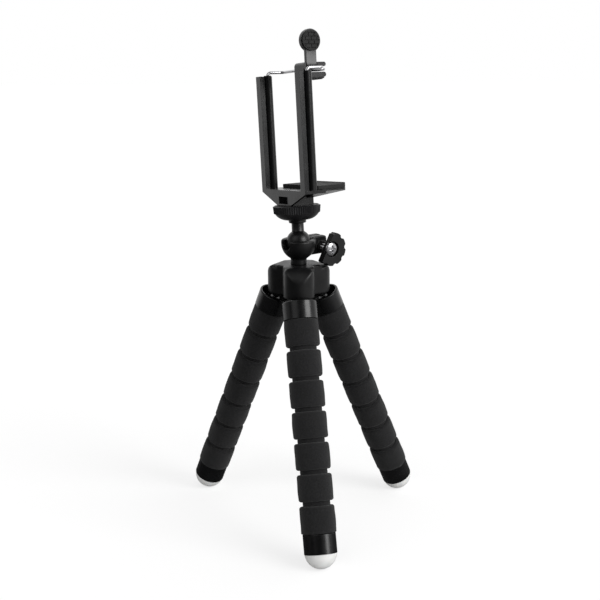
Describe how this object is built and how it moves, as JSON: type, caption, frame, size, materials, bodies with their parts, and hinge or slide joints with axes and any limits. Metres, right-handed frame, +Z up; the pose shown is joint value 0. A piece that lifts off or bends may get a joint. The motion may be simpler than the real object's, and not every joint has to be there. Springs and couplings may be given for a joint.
{
  "type": "phone tripod",
  "caption": "Mini tripod with foam-sleeved flexible legs, a ball head on a three-lobed hub and a sprung wire-and-bar phone clip.",
  "frame": {"origin": "on the standing surface, under the middle of the hub", "axes": "+Z up through the hub and the ball; one leg points along -Y"},
  "size_m": [0.1285, 0.1167, 0.2658],
  "materials": {
    "foam": "matte",
    "collar": "satin",
    "hub": "satin",
    "clip": "gloss",
    "black_metal": "satin",
    "bright_metal": "polished",
    "pad": "matte",
    "foot": "satin",
    "core": "matte"
  },
  "bodies": {
    "hub": {"hub_body": "hub", "hub_cover": "hub", "hub_screws": "black_metal", "socket_bolt": "black_metal", "ball_socket": "hub", "clamp_nut": "bright_metal"},
    "ball": {"head_ball": "black_metal"},
    "stem": {"ball_stem": "black_metal", "tripod_stud": "bright_metal"},
    "platform": {"platform_disc": "hub"},
    "knob": {"clamp_knob": "hub", "clamp_screw": "bright_metal"},
    "clip": {"clip_frame": "clip", "lower_jaw_pad": "pad", "clip_nut": "bright_metal", "bar_plugs": "clip"},
    "jaw": {"upper_jaw": "clip", "upper_jaw_pad": "pad", "wire_frame": "bright_metal", "rod_stops": "bright_metal", "clip_springs": "bright_metal", "grip_arm_pin": "bright_metal"},
    "arm": {"grip_arm": "clip", "grip_pad": "pad"},
    "neck_front": {"bend_ball_front": "pad"},
    "leg_1_front": {"top_collar_front": "collar", "foam_1_front": "foam", "core_front": "core"},
    "leg_2_front": {"foam_2_front": "foam"},
    "leg_3_front": {"foam_3_front": "foam"},
    "leg_4_front": {"foam_4_front": "foam"},
    "leg_5_front": {"foam_5_front": "foam"},
    "leg_6_front": {"foam_6_front": "foam"},
    "leg_7_front": {"foam_7_front": "foam", "bottom_collar_front": "collar", "foot_front": "foot"},
    "neck_left": {"bend_ball_left": "pad"},
    "leg_1_left": {"top_collar_left": "collar", "foam_1_left": "foam", "core_left": "core"},
    "leg_2_left": {"foam_2_left": "foam"},
    "leg_3_left": {"foam_3_left": "foam"},
    "leg_4_left": {"foam_4_left": "foam"},
    "leg_5_left": {"foam_5_left": "foam"},
    "leg_6_left": {"foam_6_left": "foam"},
    "leg_7_left": {"foam_7_left": "foam", "bottom_collar_left": "collar", "foot_left": "foot"},
    "neck_right": {"bend_ball_right": "pad"},
    "leg_1_right": {"top_collar_right": "collar", "foam_1_right": "foam", "core_right": "core"},
    "leg_2_right": {"foam_2_right": "foam"},
    "leg_3_right": {"foam_3_right": "foam"},
    "leg_4_right": {"foam_4_right": "foam"},
    "leg_5_right": {"foam_5_right": "foam"},
    "leg_6_right": {"foam_6_right": "foam"},
    "leg_7_right": {"foam_7_right": "foam", "bottom_collar_right": "collar", "foot_right": "foot"}
  },
  "joints": [
    {"name": "ball_tilt", "type": "hinge", "parent": "hub", "child": "ball", "pos_m": [0, 0, 0.156], "axis": [0.594, -0.7998, 0.0866], "range_deg": [-30, 90]},
    {"name": "ball_lean", "type": "hinge", "parent": "ball", "child": "stem", "pos_m": [0, 0, 0.156], "axis": [0.8028, 0.5962, 0], "range_deg": [-30, 2]},
    {"name": "platform_spin", "type": "hinge", "parent": "stem", "child": "platform", "pos_m": [-0.00065, 0.00113, 0.17094], "axis": [-0.0436, 0.0755, 0.9962], "continuous": true},
    {"name": "clip_swivel", "type": "hinge", "parent": "stem", "child": "clip", "pos_m": [-0.00087, 0.00151, 0.17592], "axis": [-0.0436, 0.0755, 0.9962], "continuous": true},
    {"name": "knob_turn", "type": "hinge", "parent": "hub", "child": "knob", "pos_m": [0.00996, 0.00739, 0.1524], "axis": [0.5962, -0.8028, 0], "continuous": true},
    {"name": "jaw_slide", "type": "slide", "parent": "clip", "child": "jaw", "axis": [-0.0436, 0.0755, 0.9962], "range_m": [0, 0.028], "stiffness_N_per_m": 150, "springref_m": -0.012, "deforming": ["clip_springs"]},
    {"name": "arm_fold", "type": "hinge", "parent": "jaw", "child": "arm", "pos_m": [0.00706, 0.00917, 0.24766], "axis": [0.866, 0.5, 0], "range_deg": [0, 80]},
    {"name": "splay_front", "type": "hinge", "parent": "hub", "child": "neck_front", "pos_m": [0, -0.01355, 0.12775], "axis": [-1, 0, 0], "range_deg": [-23, 40]},
    {"name": "sway_front", "type": "hinge", "parent": "neck_front", "child": "leg_1_front", "pos_m": [0, -0.01355, 0.12775], "axis": [0, -0.9205, 0.3908], "range_deg": [-15.4, 6.6]},
    {"name": "curl_1_front", "type": "hinge", "parent": "leg_1_front", "child": "leg_2_front", "pos_m": [0.00201, -0.02376, 0.1037], "axis": [0.9971, 0.03, 0.0706], "range_deg": [-14, 14], "deforming": ["core_front"]},
    {"name": "curl_2_front", "type": "hinge", "parent": "leg_2_front", "child": "leg_3_front", "pos_m": [0.00323, -0.02995, 0.08911], "axis": [0.9971, 0.03, 0.0706], "range_deg": [-14, 14]},
    {"name": "curl_3_front", "type": "hinge", "parent": "leg_3_front", "child": "leg_4_front", "pos_m": [0.00445, -0.03615, 0.07452], "axis": [0.9971, 0.03, 0.0706], "range_deg": [-14, 14]},
    {"name": "curl_4_front", "type": "hinge", "parent": "leg_4_front", "child": "leg_5_front", "pos_m": [0.00567, -0.04235, 0.05992], "axis": [0.9971, 0.03, 0.0706], "range_deg": [-14, 14]},
    {"name": "curl_5_front", "type": "hinge", "parent": "leg_5_front", "child": "leg_6_front", "pos_m": [0.00689, -0.04854, 0.04533], "axis": [0.9971, 0.03, 0.0706], "range_deg": [-14, 14]},
    {"name": "curl_6_front", "type": "hinge", "parent": "leg_6_front", "child": "leg_7_front", "pos_m": [0.00811, -0.05474, 0.03074], "axis": [0.9971, 0.03, 0.0706], "range_deg": [-14, 14]},
    {"name": "splay_left", "type": "hinge", "parent": "hub", "child": "neck_left", "pos_m": [-0.01174, 0.00677, 0.12775], "axis": [0.5, 0.866, 0], "range_deg": [-23, 40]},
    {"name": "sway_left", "type": "hinge", "parent": "neck_left", "child": "leg_1_left", "pos_m": [-0.01174, 0.00677, 0.12775], "axis": [-0.7951, 0.4591, 0.3963], "range_deg": [-9.4, 12.6]},
    {"name": "curl_1_left", "type": "hinge", "parent": "leg_1_left", "child": "leg_2_left", "pos_m": [-0.02036, 0.0126, 0.1037], "axis": [-0.5094, -0.8602, -0.0256], "range_deg": [-14, 14], "deforming": ["core_left"]},
    {"name": "curl_2_left", "type": "hinge", "parent": "leg_2_left", "child": "leg_3_left", "pos_m": [-0.02559, 0.01613, 0.08911], "axis": [-0.5094, -0.8602, -0.0256], "range_deg": [-14, 14]},
    {"name": "curl_3_left", "type": "hinge", "parent": "leg_3_left", "child": "leg_4_left", "pos_m": [-0.03082, 0.01967, 0.07452], "axis": [-0.5094, -0.8602, -0.0256], "range_deg": [-14, 14]},
    {"name": "curl_4_left", "type": "hinge", "parent": "leg_4_left", "child": "leg_5_left", "pos_m": [-0.03606, 0.0232, 0.05992], "axis": [-0.5094, -0.8602, -0.0256], "range_deg": [-14, 14]},
    {"name": "curl_5_left", "type": "hinge", "parent": "leg_5_left", "child": "leg_6_left", "pos_m": [-0.04129, 0.02673, 0.04533], "axis": [-0.5094, -0.8602, -0.0256], "range_deg": [-14, 14]},
    {"name": "curl_6_left", "type": "hinge", "parent": "leg_6_left", "child": "leg_7_left", "pos_m": [-0.04652, 0.03027, 0.03074], "axis": [-0.5094, -0.8602, -0.0256], "range_deg": [-14, 14]},
    {"name": "splay_right", "type": "hinge", "parent": "hub", "child": "neck_right", "pos_m": [0.01174, 0.00677, 0.12775], "axis": [0.5, -0.866, 0], "range_deg": [-23, 40]},
    {"name": "sway_right", "type": "hinge", "parent": "neck_right", "child": "leg_1_right", "pos_m": [0.01174, 0.00677, 0.12775], "axis": [0.7949, 0.4589, 0.397], "range_deg": [-10.3, 11.7]},
    {"name": "curl_1_right", "type": "hinge", "parent": "leg_1_right", "child": "leg_2_right", "pos_m": [0.0209, 0.0117, 0.1037], "axis": [-0.4958, 0.8684, -0.0112], "range_deg": [-14, 14], "deforming": ["core_right"]},
    {"name": "curl_2_right", "type": "hinge", "parent": "leg_2_right", "child": "leg_3_right", "pos_m": [0.02646, 0.01469, 0.08911], "axis": [-0.4958, 0.8684, -0.0112], "range_deg": [-14, 14]},
    {"name": "curl_3_right", "type": "hinge", "parent": "leg_3_right", "child": "leg_4_right", "pos_m": [0.03203, 0.01767, 0.07452], "axis": [-0.4958, 0.8684, -0.0112], "range_deg": [-14, 14]},
    {"name": "curl_4_right", "type": "hinge", "parent": "leg_4_right", "child": "leg_5_right", "pos_m": [0.03759, 0.02066, 0.05992], "axis": [-0.4958, 0.8684, -0.0112], "range_deg": [-14, 14]},
    {"name": "curl_5_right", "type": "hinge", "parent": "leg_5_right", "child": "leg_6_right", "pos_m": [0.04315, 0.02365, 0.04533], "axis": [-0.4958, 0.8684, -0.0112], "range_deg": [-14, 14]},
    {"name": "curl_6_right", "type": "hinge", "parent": "leg_6_right", "child": "leg_7_right", "pos_m": [0.04872, 0.02664, 0.03074], "axis": [-0.4958, 0.8684, -0.0112], "range_deg": [-14, 14]}
  ],
  "couplings": [
    {"joint": "curl_2_front", "follows": "curl_1_front", "ratio": 1},
    {"joint": "curl_3_front", "follows": "curl_1_front", "ratio": 1},
    {"joint": "curl_4_front", "follows": "curl_1_front", "ratio": 1},
    {"joint": "curl_5_front", "follows": "curl_1_front", "ratio": 1},
    {"joint": "curl_6_front", "follows": "curl_1_front", "ratio": 1},
    {"joint": "curl_2_left", "follows": "curl_1_left", "ratio": 1},
    {"joint": "curl_3_left", "follows": "curl_1_left", "ratio": 1},
    {"joint": "curl_4_left", "follows": "curl_1_left", "ratio": 1},
    {"joint": "curl_5_left", "follows": "curl_1_left", "ratio": 1},
    {"joint": "curl_6_left", "follows": "curl_1_left", "ratio": 1},
    {"joint": "curl_2_right", "follows": "curl_1_right", "ratio": 1},
    {"joint": "curl_3_right", "follows": "curl_1_right", "ratio": 1},
    {"joint": "curl_4_right", "follows": "curl_1_right", "ratio": 1},
    {"joint": "curl_5_right", "follows": "curl_1_right", "ratio": 1},
    {"joint": "curl_6_right", "follows": "curl_1_right", "ratio": 1}
  ]
}
